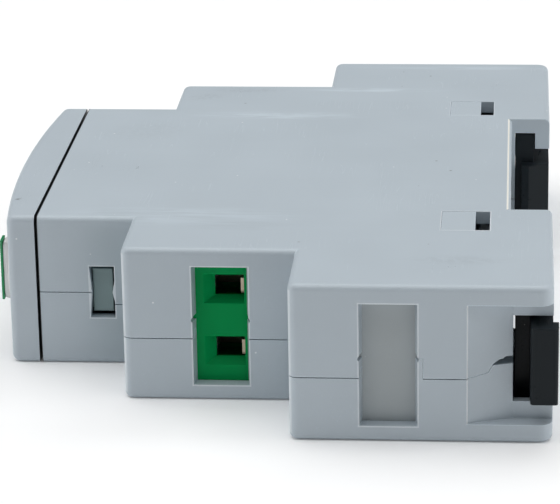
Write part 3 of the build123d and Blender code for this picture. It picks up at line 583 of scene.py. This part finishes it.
@dataclass(frozen=True)
class HousingMap:
    """The places on the housing, in millimetres, that have painted shade, a painted highlight or a mark of
    their own.
    """

    top: float = 9.0
    below_rim: float = 8.3
    window_low: float = -7.34
    window_high: float = 7.04
    glint_strength: float = 0.5
    glint_soft: float = 0.02

    def edges(self) -> tuple[PaintedLight, ...]:
        """Painted shade in the seam and on the nose walls, and painted highlights on the ramp edges,
        upright corners and notch edge.
        """
        glint, up = Tone.GLINT.value, self.below_rim
        return (
            # Painted shade in the seam gap.
            shade_band(-54.6, -54.42, Tone.SEAM_SHADE.value),
            # Painted highlight along both ramp edges.
            *at_both_ends((-4.52, -46.0, -6.85), (-4.38, -43.5, 6.85), glint, 0.9, 0.03),
            # Painted highlights on the upright corners of the middle and rear blocks.
            *at_both_ends((-43.6, -34.0, -up), (-43.1, -32.3, up), glint, 0.5, 0.15),
            *at_both_ends((-24.0, -45.5, -up), (-23.6, -44.2, up), glint, 0.5, 0.15),
            # Painted shade on the nose walls beside the shoulder.
            *at_both_ends((-48.5, -23.2, -9.5), (-42.5, -21.0, up), Tone.SHADE.value, 0.45, 3.0),
            # Painted highlight along the notch floor's top edge.
            PaintedLight((-0.45, -18.4, 8.5), (-0.24, 18.4, 9.1), Tone.CREAM_HIGHLIGHT.value, 0.9, 0.03),
        )

    def window_glints(self) -> tuple[PaintedLight, ...]:
        """A painted highlight round each window and catch: a box a little larger than the hole, at the
        face.
        """
        glint, low, high = Tone.GLINT.value, self.window_low, self.window_high
        strength, soft = self.glint_strength, self.glint_soft
        face = self.top - 0.022
        return (
            # Painted highlights round the terminal windows, the nose windows and the two catches.
            *at_both_ends((-35.62, -33.7, low), (-28.98, -33.42, high), glint, strength + 0.1, soft),
            *at_both_ends((-16.32, -45.2, low), (-9.68, -44.92, high), glint, strength, soft),
            *at_both_ends((-48.72, -22.7, -3.43), (-45.56, -22.42, 3.13), glint, strength, soft),
            PaintedLight((-7.92, -26.08, face), (-2.18, -19.08, 9.2), glint, strength + 0.1, 0.015),
            PaintedLight((-7.92, 19.98, face), (-2.18, 26.42, 9.2), glint, strength / 2, 0.015),
        )

    def highlight_streaks(self) -> tuple[Mark, ...]:
        """Pale streaks on the upper side face, along its length: painted highlights where smudges catch the
        light.
        """
        return (
            Mark((-38.0, -21.5, self.top), (17.0, 4.5, 2.0), 0.16, stretch=9.0),
            Mark((-30.0, 19.5, self.top), (14.0, 2.2, 2.0), 0.22, stretch=6.0),
            Mark((-18.0, 31.5, self.top), (11.0, 1.3, 2.0), 0.28, stretch=6.0),
            Mark((0.0, 42.5, self.top), (26.0, 1.2, 2.0), 0.20, stretch=6.0),
        )

    def dark_marks(self) -> tuple[Mark, ...]:
        """Faint smudges on the upper side face."""
        return (
            Mark((-40.0, 27.8, self.top), (3.2, 2.0, 1.0), 0.12, turn=0.4),
            Mark((-34.4, 31.2, self.top), (6.5, 1.4, 1.0), 0.12),
            Mark((-5.4, -36.3, self.top), (7.5, 2.0, 1.0), 0.10),
            Mark((-31.0, -25.0, self.top), (9.0, 2.5, 1.0), 0.07, stretch=7.0),
            Mark((-46.0, 12.0, self.top), (8.0, 5.0, 1.0), 0.05, turn=0.3),
        )


def shell_finishes() -> dict[str, Moulded]:
    """The finishes of the two half shells and the cover.

    Returns:
        The finishes by short name.
    """
    places = HousingMap()
    # The lower shell takes the housing map's painted shade and painted highlights.
    lower = Moulded("housing_grey_lower", Tone.SHELL.value, roughness=0.44, edge_highlight=0.85,
                    edge_radius=0.18, painted_light_boxes=places.edges() + places.window_glints())
    chip = Mark((-57.5, -15.9, places.top), (0.75, 0.45, 0.6), 0.9, turn=0.5)
    # Painted shade in the seam gap and on the recessed catch.
    cover_painted_shade = (shade_band(-54.82, -53.0, Tone.SEAM_SHADE.value), shade_band(-53.0, -40.0, Tone.CATCH_SHADE.value))
    return {
        "shell_lower": lower,
        # The upper shell adds painted highlight streaks and smudges.
        "shell_upper": replace(lower, name="housing_grey_upper", highlight_streaks=places.highlight_streaks(),
                               dark_marks=places.dark_marks()),
        "cover": Moulded("cover_grey", Tone.COVER.value, roughness=0.42, mottle=0.04, edge_highlight=0.75,
                         dark_marks=(chip,), painted_light_boxes=cover_painted_shade),
    }


def finishes() -> dict[str, Any]:
    """Every finish by a short name.

    Returns:
        The finishes, each with a make method.
    """
    return {
        **shell_finishes(),
        "foil": Moulded("label_foil", (0.60, 0.64, 0.66), roughness=0.32, grain=0.002,
                        edge_radius=0.05, mottle=0.01, coat=0.2),
        "knob": Moulded("knob_white", (0.80, 0.82, 0.83), roughness=0.38, grain=0.003,
                        edge_radius=0.12),
        "pointer": Moulded("pointer_green", (0.0, 0.26, 0.085), roughness=0.32, grain=0.002,
                           edge_radius=0.08, mottle=0.05),
        "terminal": Moulded("terminal_green", Tone.GREEN.value, roughness=0.38, grain=0.004,
                            edge_radius=0.12, mottle=0.07, edge_highlight=0.2, specular=0.06),
        "blank": Moulded("blank_grey", Tone.BLANK.value, roughness=0.55, grain=0.008, edge_highlight=0.2),
        "latch": Moulded("latch_black", Tone.BLACK.value, roughness=0.36, grain=0.004, mottle=0.1,
                         dust=0.07, edge_highlight=0.10, hairlines=0.2, specular=0.16),
        "brass": Metal("contact_brass", (0.50, 0.42, 0.33), 0.42),
        "zinc": Metal("zinc_plate", (0.60, 0.61, 0.62), 0.28, tarnish=0.4),
        "spring": Metal("spring_wire", (0.42, 0.42, 0.43), 0.22, along=0),
        "board": Board("solder_mask_board"),
        "black": Moulded("black_resin", (0.018, 0.018, 0.02), edge_radius=0.08, edge_highlight=0.1),
        "relay": Moulded("relay_case_blue", (0.03, 0.09, 0.26), roughness=0.3, grain=0.002, coat=0.3),
        "natural": Moulded("natural_polyester", (0.62, 0.58, 0.47), roughness=0.45),
        "winding": Wound("enamelled_winding", (0.55, 0.20, 0.07), 0.18),
        "film": Moulded("film_capacitor_yellow", (0.62, 0.36, 0.03), roughness=0.3, coat=0.3,
                        mottle=0.06),
        "can": Moulded("capacitor_sleeve", (0.02, 0.02, 0.035), roughness=0.25, coat=0.4),
        "varistor": Moulded("varistor_blue", (0.02, 0.07, 0.30), roughness=0.25, mottle=0.08, coat=0.3),
        "cement": Moulded("resistor_cement", (0.48, 0.33, 0.19), roughness=0.7, grain=0.02, mottle=0.08),
        "lamp_green": Lens("lamp_lens_green", (0.05, 0.42, 0.10)),
        "lamp_red": Lens("lamp_lens_red", (0.50, 0.03, 0.02)),
        "ink": Ink("print_ink_dark", (0.035, 0.04, 0.045)),
    }


# ---------------------------------------------------------------- meshes
def closed_object(name: str, vertices: np.ndarray, faces: Iterable[Sequence[int]],
                  material: bpy.types.Material, body: str) -> bpy.types.Object:
    """A mesh object at the origin that rides on a body.

    Args:
        name: the piece's name.
        vertices: an array of points in metres.
        faces: corner numbers of each face, outwards.
        material: its finish.
        body: the body it rides on.

    Returns:
        The object.
    """
    mesh = bpy.data.meshes.new(name)
    mesh.from_pydata(vertices.tolist(), [], [list(map(int, f)) for f in faces])
    mesh.validate()
    mesh.update()
    mesh.materials.append(material)
    piece = bpy.data.objects.new(name, mesh)
    bpy.context.scene.collection.objects.link(piece)
    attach(piece, body)
    return piece


def slab_faces(rows: int, columns: int) -> np.ndarray:
    """Quads that close a slab whose near and far faces are grids of rows by columns points.

    The near grid comes first, then the far one. Each grid cell gives a near quad and a far quad turned
    the other way, and the rim joins the two grids' outlines.

    Args:
        rows: points along the first parameter.
        columns: points along the second.

    Returns:
        An array of four corner numbers a face.
    """
    grid = np.arange(rows * columns).reshape(rows, columns)
    near = np.stack([grid[:-1, :-1], grid[:-1, 1:], grid[1:, 1:], grid[1:, :-1]], -1).reshape(-1, 4)
    far = near[:, ::-1] + rows * columns
    loop = np.concatenate([grid[0, :-1], grid[:-1, -1], grid[-1, :0:-1], grid[:0:-1, 0]])
    after = np.roll(loop, -1)
    rim = np.stack([after, loop, loop + rows * columns, after + rows * columns], -1)
    return np.concatenate([near, far, rim])


@dataclass
class FrontPrint:
    """The ink on the curved front foil: a scale round each knob, its numbers, and the lamps' rings."""

    foil_radius: float = 174.7 * MM
    foil_front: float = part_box("front_label")[0][0]
    ink_height: float = 0.015 * MM
    scale_inner: float = 4.75 * MM
    long_tick: float = 0.75 * MM
    short_tick: float = 0.45 * MM
    tick_width: float = 0.22 * MM
    sweep: float = math.radians(135)
    number_radius: float = 6.0 * MM
    number_size: float = 1.35 * MM
    ring_radius: float = 2.15 * MM
    ring_width: float = 0.15 * MM
    frame_half_y: float = 18.9 * MM
    frame_half_z: float = 6.95 * MM
    frame_width: float = 0.12 * MM
    frame_power: float = 16.0
    body: str = "housing"

    def foil_x(self, y: np.ndarray) -> np.ndarray:
        """X of the foil's face: the arc of its radius that starts at its front, less the ink's height."""
        arc = self.foil_radius - np.sqrt(self.foil_radius ** 2 - y ** 2)
        return self.foil_front + arc - self.ink_height

    def on_foil(self, name: str, y: np.ndarray, z: np.ndarray,
                material: bpy.types.Material) -> bpy.types.Object:
        """Slabs of ink, one for each grid of points.

        Each slab is a grid laid on the foil's arc at (y, z), and the same grid sunk into the foil.

        Args:
            name: the piece's name.
            y: heights, as slabs by rows by columns.
            z: places across, of the same shape.
            material: the ink.

        Returns:
            The object.
        """
        count, rows, columns = y.shape
        near = np.stack([self.foil_x(y), y, z], -1).reshape(count, -1, 3)
        far = near + np.array([2 * self.ink_height, 0, 0])
        points = np.concatenate([near, far], 1).reshape(-1, 3)
        step = 2 * rows * columns
        faces = slab_faces(rows, columns)[None] + (np.arange(count) * step)[:, None, None]
        return closed_object(name, points, faces.reshape(-1, 4), material, self.body)

    def ticks(self, name: str, centre: float, steps: int, minor: int,
              material: bpy.types.Material) -> None:
        """The ticks round one knob.

        A tick's points are centre plus the radius along its angle, plus its width across that angle.

        Args:
            name: the piece's name.
            centre: the knob's height.
            steps: spaces between the numbered ticks.
            minor: small spaces in each.
            material: the ink.
        """
        count = steps * minor + 1
        angle = np.linspace(-self.sweep, self.sweep, count)[:, None, None]
        long = (np.arange(count) % minor == 0)[:, None, None]
        reach = np.where(long, self.long_tick, self.short_tick)
        along = self.scale_inner + reach * np.linspace(0, 1, 3)[None, :, None]
        across = self.tick_width * np.linspace(-0.5, 0.5, 2)[None, None, :]
        y = centre + along * np.cos(angle) - across * np.sin(angle)
        z = along * np.sin(angle) + across * np.cos(angle)
        self.on_foil(name, y, z, material)

    def ring(self, name: str, centre: float, radius: float, width: float,
             material: bpy.types.Material) -> None:
        """A thin printed ring: rows of points at two radii, all the way round."""
        angle = np.linspace(0, 2 * math.pi, 49)[None, :, None]
        along = radius + width * np.linspace(0, 1, 2)[None, None, :]
        self.on_foil(name, centre + along * np.cos(angle), along * np.sin(angle), material)

    def frame_line(self, name: str, half_y: float, half_z: float, width: float,
                   material: bpy.types.Material) -> None:
        """A thin line round the foil: a superellipse of high power, drawn at two sizes.

        Its points start on a circle, evenly by angle, and are scaled until the powers of both coordinates
        add up to 1.

        Args:
            name: the piece's name.
            half_y: half its height.
            half_z: half its width.
            width: the line's width.
            material: the ink.
        """
        angle = np.linspace(0, 2 * math.pi, 241)
        rim = np.stack([np.cos(angle), np.sin(angle)])
        rim /= (np.abs(rim) ** self.frame_power).sum(0) ** (1 / self.frame_power)
        inward = width * np.linspace(1, 0, 2)[None, None, :]
        y = (half_y - inward) * rim[0][None, :, None]
        z = (half_z - inward) * rim[1][None, :, None]
        self.on_foil(name, y, z, material)

    def number(self, name: str, text: str, y: float, z: float, material: bpy.types.Material) -> None:
        """One number, drawn flat and laid on the foil at (y, z), its foot towards the bottom end.

        Args:
            name: the piece's name.
            text: the digits.
            y: height of its middle.
            z: place across of its middle.
            material: the ink.
        """
        curve = bpy.data.curves.new(name, "FONT")
        curve.body, curve.size, curve.align_x, curve.align_y = text, self.number_size, "CENTER", "CENTER"
        curve.extrude, curve.resolution_u = self.ink_height, 4
        holder = bpy.data.objects.new(name + "_draft", curve)
        bpy.context.scene.collection.objects.link(holder)
        bpy.context.view_layer.update()
        drawn = holder.evaluated_get(bpy.context.evaluated_depsgraph_get())
        mesh = bpy.data.meshes.new_from_object(drawn)
        bpy.data.objects.remove(holder)
        flat = np.empty(len(mesh.vertices) * 3)
        mesh.vertices.foreach_get("co", flat)
        flat = flat.reshape(-1, 3)
        at = np.stack([self.foil_x(y + flat[:, 1]) + self.ink_height * 0.5 - flat[:, 2], y + flat[:, 1],
                       z + flat[:, 0]], -1)
        mesh.vertices.foreach_set("co", at.ravel())
        mesh.materials.clear()
        mesh.materials.append(material)
        mesh.update()
        piece = bpy.data.objects.new(name, mesh)
        bpy.context.scene.collection.objects.link(piece)
        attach(piece, self.body)

    def build(self, made: dict[str, bpy.types.Material]) -> int:
        """Prints both scales and the lamp rings.

        Args:
            made: materials by short name.

        Returns:
            How many pieces were made.
        """
        ink = made["ink"]
        middle = {node: (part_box(node)[0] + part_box(node)[1]) / 2 for node in
                  ("time_knob", "range_knob", "led_power", "led_output")}
        self.ticks("print_time_scale", middle["time_knob"].y, 10, 2, ink)
        self.ticks("print_range_scale", middle["range_knob"].y, 6, 1, ink)
        for lamp in ("led_power", "led_output"):
            self.ring("print_ring_" + lamp, middle[lamp].y, self.ring_radius, self.ring_width, ink)
        texts = [("time", str(2 * step), middle["time_knob"].y, step / 5) for step in range(6)]
        texts += [("range", str(step + 1), middle["range_knob"].y, step / 6) for step in range(7)]
        for scale, text, centre, share in texts:
            angle = self.sweep * (2 * share - 1)
            across, along = self.number_radius * math.sin(angle), self.number_radius * math.cos(angle)
            self.number(f"print_{scale}_number_{text}", text, centre + along, across, ink)
        self.frame_line("print_frame", self.frame_half_y, self.frame_half_z, self.frame_width, ink)
        return 5 + len(texts)


def signed_power(value: np.ndarray, exponent: float) -> np.ndarray:
    """The size raised to a power, with its sign kept."""
    return np.sign(value) * np.abs(value) ** exponent


@dataclass
class Knob:
    """A fluted knob with a rounded bar grip, in the place of a packed knob and on its body."""

    node: str
    body: str
    flutes: int = 30
    flute_depth: float = 0.11 * MM
    rim_round: float = 0.35 * MM
    grip_half_width: float = 1.1 * MM
    grip_half_length: float = 3.65 * MM
    disc_radius: float = 3.9 * MM
    grip_rise: float = 1.0 * MM
    grip_sink: float = 0.25 * MM
    dish_depth: float = 0.12 * MM
    thickness: float = 2.6 * MM
    flute_columns: int = 8
    grip_rows: int = 33
    grip_columns: int = 96

    def disc(self, front: float, rear: float, centre: float) -> tuple[np.ndarray, np.ndarray]:
        """The disc: a profile turned about X, its radius pressed in by rounded flutes.

        The profile runs from the front's middle out to the rim, round it by a quarter circle, back along
        the side and in to the rear's middle. A flute takes away the square of a cosine of the angle.

        Args:
            front: X of its face.
            rear: X of its back.
            centre: height of its axis.

        Returns:
            Points and quads.
        """
        columns = self.flutes * self.flute_columns
        angle = np.linspace(0, 2 * math.pi, columns, endpoint=False)
        turn = np.linspace(0, math.pi / 2, 7)
        rim = self.disc_radius - self.rim_round
        dish = np.linspace(0.02, 0.94, 8)
        radius = np.concatenate([rim * dish, rim + self.rim_round * np.sin(turn),
                                 [self.disc_radius], [dish[0] * rim]])
        depth = np.concatenate([front + self.dish_depth * (1 - dish ** 6),
                                front + self.rim_round * (1 - np.cos(turn)), [rear], [rear]])
        pressed = np.clip((radius - rim) / self.rim_round, 0, 1)[:, None]
        flute = self.flute_depth * np.cos(angle * self.flutes / 2)[None, :] ** 2
        spread = radius[:, None] - pressed * flute
        x = np.broadcast_to(depth[:, None], spread.shape)
        points = np.stack([x, centre + spread * np.cos(angle), spread * np.sin(angle)], -1).reshape(-1, 3)
        rows = len(radius)
        grid = np.arange(rows * columns).reshape(rows, columns)
        after = np.roll(grid, -1, 1)
        quads = np.stack([grid[:-1], grid[1:], after[1:], after[:-1]], -1).reshape(-1, 4)
        return points, quads

    def grip(self, top: float, foot: float, centre: float) -> tuple[np.ndarray, np.ndarray]:
        """The bar grip: a superellipsoid stretched along Z, with its lower half sunk in the disc.

        Height, width and length are powers of the sine and cosine of two angles, so faces are nearly flat
        and edges round.

        Args:
            top: X of its crest.
            foot: X of its middle plane.
            centre: height of its axis.

        Returns:
            Points and quads.
        """
        rows, columns = self.grip_rows, self.grip_columns
        rise = np.linspace(-math.pi / 2 + 0.01, math.pi / 2 - 0.01, rows)[:, None]
        angle = np.linspace(0, 2 * math.pi, columns, endpoint=False)[None, :]
        level = signed_power(np.cos(rise), 0.16)
        x = np.broadcast_to(foot - (foot - top) * signed_power(np.sin(rise), 0.3), (rows, columns))
        y = centre + self.grip_half_width * level * signed_power(np.cos(angle), 0.3)
        z = self.grip_half_length * level * signed_power(np.sin(angle), 0.18)
        points = np.stack([x, y, z], -1).reshape(-1, 3)
        grid = np.arange(rows * columns).reshape(rows, columns)
        after = np.roll(grid, -1, 1)
        return points, np.stack([grid[:-1], grid[1:], after[1:], after[:-1]], -1).reshape(-1, 4)

    def build(self, made: dict[str, bpy.types.Material]) -> bpy.types.Object:
        """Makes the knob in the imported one's box, with its caps closed and its normals turned out.

        Args:
            made: materials by short name.

        Returns:
            The object.
        """
        low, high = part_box(self.node)
        centre, top = (low.y + high.y) / 2, low.x
        face = top + self.grip_rise
        disc, disc_quads = self.disc(face, face + self.thickness, centre)
        bar, bar_quads = self.grip(top, face + self.grip_sink, centre)
        faces = disc_quads.tolist() + (bar_quads + len(disc)).tolist()
        columns = self.flutes * self.flute_columns
        faces += [list(range(columns)), list(range(len(disc) - columns, len(disc)))]
        first, last, step = len(disc), len(disc) + len(bar), self.grip_columns
        faces += [list(range(first, first + step)), list(range(last - step, last))]
        piece = closed_object(self.node + "_moulding", np.concatenate([disc, bar]), faces,
                              made["knob"], self.body)
        turn_out(piece.data)
        piece.data.shade_smooth()
        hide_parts(self.node)
        return piece


def turn_out(mesh: bpy.types.Mesh) -> None:
    """Makes every face of a closed mesh point outwards."""
    draft = bmesh.new()
    draft.from_mesh(mesh)
    bmesh.ops.recalc_face_normals(draft, faces=draft.faces)
    draft.to_mesh(mesh)
    draft.free()
    mesh.update()


# ---------------------------------------------------------------- sub-assemblies
@dataclass
class Dressing:
    """A sub-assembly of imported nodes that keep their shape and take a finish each."""

    title: str
    wear: dict[str, str] = field(default_factory=dict)

    def dress(self, made: dict[str, bpy.types.Material]) -> None:
        """Puts each node's finish in all of its slots.

        Args:
            made: materials by short name.
        """
        for node, finish in self.wear.items():
            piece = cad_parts[node]
            if not piece.material_slots:
                piece.data.materials.append(made[finish])
            for held in piece.material_slots:
                held.material = made[finish]
        LOG.info("%s: %d nodes", self.title, len(self.wear))


def numbered(stem: str, finish: str) -> dict[str, str]:
    """The four nodes of a terminal part and their finish."""
    return {f"{stem}_{number}": finish for number in range(1, 5)}


def assemblies() -> list[Dressing]:
    """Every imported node, by sub-assembly.

    Returns:
        The dressings.
    """
    return [
        Dressing("housing", {"housing_upper": "shell_upper", "housing_lower": "shell_lower",
                             "terminal_blank_bottom": "blank", "terminal_blank_top": "blank"}),
        Dressing("front", {"front_cover": "cover", "front_label": "foil",
                           "time_knob": "knob", "time_knob_pointer": "pointer",
                           "range_knob": "knob", "range_knob_pointer": "pointer",
                           "led_power": "lamp_green", "led_output": "lamp_red",
                           "led_spacers": "natural"}),
        Dressing("terminals", {"terminal_block_bottom": "terminal", "terminal_block_top": "terminal",
                               "contact_frames_bottom": "brass", "contact_frames_top": "brass",
                               **numbered("clamp_plate", "zinc"), **numbered("terminal_screw", "zinc")}),
        Dressing("rail fixing", {"rail_latch": "latch", "rail_hook": "latch", "latch_spring": "spring"}),
        Dressing("front board", {"front_pcb": "board",
                                 "time_pot_body": "black", "time_pot_rotor": "natural",
                                 "range_switch_body": "black", "range_switch_rotor": "natural",
                                 "microcontroller": "black", "chip_resistors": "black",
                                 "link_header_strips": "black", "link_header_pins": "brass"}),
        Dressing("relay", {"relay_case": "relay", "relay_base": "black", "relay_pins": "brass",
                           "relay_yoke": "zinc", "relay_bobbin": "natural", "relay_winding": "winding",
                           "relay_armature": "zinc", "relay_contact_blade": "brass",
                           "relay_fixed_contacts": "brass"}),
        Dressing("supply", {"power_pcb": "board", "film_capacitor": "film",
                            "electrolytic_capacitor": "can", "varistor": "varistor",
                            "fuse_resistor": "cement", "bridge_rectifier": "black"}),
    ]


# ---------------------------------------------------------------- studio
@dataclass
class Softbox:
    """One square or strip light that points at the object."""

    name: str
    place: Point
    size: tuple[float, float]
    power: float
    tint: Colour = (1.0, 1.0, 1.0)

    def hang(self, target: Vector) -> None:
        """Makes the light.

        Args:
            target: the point it faces.
        """
        data = bpy.data.lights.new(self.name, "AREA")
        data.shape, data.size, data.size_y = "RECTANGLE", self.size[0], self.size[1]
        data.energy, data.color = self.power, self.tint
        lamp = bpy.data.objects.new(self.name, data)
        lamp.location = self.place
        lamp.rotation_euler = (target - Vector(self.place)).to_track_quat("-Z", "Y").to_euler()
        bpy.context.scene.collection.objects.link(lamp)


@dataclass
class Studio:
    """A pale floor under the module and soft light."""

    sky: float = 0.085
    sky_tint: Colour = (0.93, 0.97, 1.0)
    floor_size: float = 6.0
    boxes: tuple[Softbox, ...] = (
        Softbox("overhead_softbox", (-0.05, 0.10, 0.90), (1.3, 1.3), 10.1),
        Softbox("left_strip", (-0.75, -0.05, 0.20), (0.60, 1.0), 2.6),
        Softbox("right_strip", (0.75, 0.0, 0.18), (0.20, 0.7), 2.6),
        Softbox("front_fill", (0.55, -0.75, 0.22), (0.5, 0.4), 0.3),
    )

    def lay_floor(self, material: bpy.types.Material) -> None:
        """A square floor at the object's lowest Z: four corners and one face.

        Args:
            material: its finish.
        """
        half, low = self.floor_size / 2, CAD_BOX[0][2] - 0.01 * MM
        corners = [(-half, -half, low), (half, -half, low), (half, half, low), (-half, half, low)]
        mesh = bpy.data.meshes.new("studio_floor")
        mesh.from_pydata(corners, [], [(0, 1, 2, 3)])
        mesh.materials.append(material)
        floor = bpy.data.objects.new("studio_floor", mesh)
        bpy.context.scene.collection.objects.link(floor)

    def light(self) -> None:
        """The sky and the softboxes."""
        world = bpy.data.worlds.new("studio_sky")
        bpy.context.scene.world = world
        world.use_nodes = True
        sky = world.node_tree.nodes["Background"]
        sky.inputs["Color"].default_value = (*self.sky_tint, 1.0)
        sky.inputs["Strength"].default_value = self.sky
        low, high = (Vector(corner) for corner in CAD_BOX)
        for box in self.boxes:
            box.hang((low + high) / 2)

    def build(self, made: dict[str, bpy.types.Material]) -> None:
        """Lays the floor and hangs the lights."""
        self.lay_floor(made["floor"])
        self.light()
        bpy.context.scene.view_settings.view_transform = "Standard"


@dataclass
class Viewpoint:
    """The camera: where it stands, how it is turned, and its lens."""

    place: Point = (0.503, -343.671, 115.769)
    yaw: float = 0.083462
    pitch: float = -0.331082
    roll: float = -0.017934
    lens: float = 190.58

    def turned(self) -> Matrix:
        """The camera's rotation: forward from yaw and pitch, then right and up turned by the roll.

        Returns:
            A matrix whose columns are right, up and back.
        """
        level = math.cos(self.pitch)
        ahead = Vector((-math.sin(self.yaw) * level, math.cos(self.yaw) * level, math.sin(self.pitch)))
        right = Vector((math.cos(self.yaw), math.sin(self.yaw), 0.0))
        up = right.cross(ahead)
        rolled_right = right * math.cos(self.roll) + up * math.sin(self.roll)
        rolled_up = up * math.cos(self.roll) - right * math.sin(self.roll)
        return Matrix((rolled_right, rolled_up, -ahead)).transposed()

    def build(self) -> None:
        """Makes the camera and gives it to the scene."""
        data = bpy.data.cameras.new("camera")
        data.lens, data.sensor_width, data.clip_start, data.clip_end = self.lens, 36.0, 0.01, 20.0
        camera = bpy.data.objects.new("camera", data)
        camera.matrix_world = Matrix.Translation(Vector(self.place) * MM) @ self.turned().to_4x4()
        bpy.context.scene.collection.objects.link(camera)
        bpy.context.scene.camera = camera


def main() -> None:
    """Builds the finishes, dresses every sub-assembly, prints the front and sets up the studio."""
    logging.basicConfig(level=logging.INFO, format="%(name)s: %(message)s")
    made = {key: finish.make() for key, finish in finishes().items()}
    made["floor"] = Backdrop().make()
    LOG.info("finishes: %d", len(made))
    for assembly in assemblies():
        assembly.dress(made)
    LOG.info("front print: %d pieces", FrontPrint().build(made))
    for node, body in (("time_knob", "time_dial"), ("range_knob", "range_dial")):
        LOG.info("knob: %s", Knob(node, body).build(made).name)
    Studio().build(made)
    Viewpoint().build()


if __name__ == "__main__":
    main()
